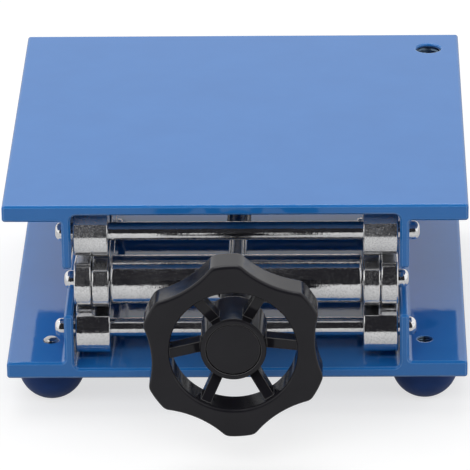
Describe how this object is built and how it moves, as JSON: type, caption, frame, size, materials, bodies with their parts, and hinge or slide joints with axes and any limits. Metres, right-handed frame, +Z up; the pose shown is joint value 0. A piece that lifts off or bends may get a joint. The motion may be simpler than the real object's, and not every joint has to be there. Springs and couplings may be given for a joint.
{
  "type": "laboratory scissor jack",
  "caption": "Laboratory scissor jack: flat blue platform on a chromed scissor linkage over a channel base with rubber feet, raised by a lobed handwheel on a lead screw.",
  "frame": {"origin": "on the floor, at the middle of the closed jack's bounding box with its handwheel", "axes": "+X to the right seen from the handwheel, +Y away from the handwheel, +Z up"},
  "size_m": [0.15, 0.1958, 0.0747],
  "materials": {
    "blue_enamel": "gloss",
    "chrome": "polished",
    "bright_steel": "satin",
    "black_plastic": "satin",
    "blue_rubber": "satin"
  },
  "bodies": {
    "base": {"base_plate": "blue_enamel", "foot_front_left": "blue_rubber", "foot_front_right": "blue_rubber", "foot_rear_left": "blue_rubber", "foot_rear_right": "blue_rubber", "foot_stud_front_left": "bright_steel", "foot_stud_front_right": "bright_steel", "foot_stud_rear_left": "bright_steel", "foot_stud_rear_right": "bright_steel"},
    "lower_inner_arms": {"lower_inner_arm_left": "chrome", "lower_inner_arm_right": "chrome", "base_front_rod": "chrome"},
    "lower_outer_arms": {"lower_outer_arm_left": "chrome", "lower_outer_arm_right": "chrome", "base_rear_rod": "chrome", "lower_crossing_pin_left": "chrome", "lower_crossing_pin_right": "chrome"},
    "front_bar": {"mid_front_bar": "chrome"},
    "rear_bar": {"mid_rear_bar": "chrome"},
    "upper_inner_arms": {"upper_inner_arm_left": "chrome", "upper_inner_arm_right": "chrome", "top_rear_rod": "chrome"},
    "upper_outer_arms": {"upper_outer_arm_left": "chrome", "upper_outer_arm_right": "chrome", "top_front_rod": "chrome", "upper_crossing_pin_left": "chrome", "upper_crossing_pin_right": "chrome"},
    "platform": {"top_plate": "blue_enamel"},
    "drive": {"lead_screw": "bright_steel", "thrust_washer": "bright_steel", "retaining_ring": "bright_steel", "spacer_sleeve": "chrome", "handwheel": "black_plastic", "handwheel_cap": "black_plastic", "handwheel_nut": "bright_steel"}
  },
  "joints": [
    {"name": "handwheel_turn", "type": "hinge", "parent": "front_bar", "child": "drive", "pos_m": [0, -0.04125, 0.0441], "axis": [0, 1, 0], "range_deg": [0, 16101]},
    {"name": "scissor_lift", "type": "hinge", "parent": "base", "child": "lower_inner_arms", "pos_m": [0, -0.04125, 0.027], "axis": [1, 0, 0], "range_deg": [0, 51.4]},
    {"name": "lower_crossing", "type": "hinge", "parent": "lower_inner_arms", "child": "lower_outer_arms", "pos_m": [0, 0.0153, 0.03555], "axis": [1, 0, 0], "range_deg": [-102.8, 0]},
    {"name": "rear_bar_pivot", "type": "hinge", "parent": "lower_inner_arms", "child": "rear_bar", "pos_m": [0, 0.07185, 0.0441], "axis": [1, 0, 0], "range_deg": [-51.4, 0]},
    {"name": "front_bar_pivot", "type": "hinge", "parent": "lower_outer_arms", "child": "front_bar", "pos_m": [0, -0.04125, 0.0441], "axis": [1, 0, 0], "range_deg": [0, 51.4]},
    {"name": "upper_inner_pivot", "type": "hinge", "parent": "front_bar", "child": "upper_inner_arms", "pos_m": [0, -0.04125, 0.0441], "axis": [1, 0, 0], "range_deg": [0, 51.4]},
    {"name": "upper_crossing", "type": "hinge", "parent": "upper_inner_arms", "child": "upper_outer_arms", "pos_m": [0, 0.0153, 0.05265], "axis": [1, 0, 0], "range_deg": [-102.8, 0]},
    {"name": "platform_pivot", "type": "hinge", "parent": "upper_outer_arms", "child": "platform", "pos_m": [0, -0.04125, 0.0612], "axis": [1, 0, 0], "range_deg": [0, 51.4]}
  ],
  "couplings": [
    {"joint": "lower_crossing", "follows": "scissor_lift", "ratio": -2},
    {"joint": "rear_bar_pivot", "follows": "scissor_lift", "ratio": -1},
    {"joint": "front_bar_pivot", "follows": "scissor_lift", "ratio": 1},
    {"joint": "upper_inner_pivot", "follows": "scissor_lift", "ratio": 1},
    {"joint": "upper_crossing", "follows": "scissor_lift", "ratio": -2},
    {"joint": "platform_pivot", "follows": "scissor_lift", "ratio": 1},
    {"joint": "handwheel_turn", "follows": "scissor_lift", "ratio": 313.24}
  ]
}
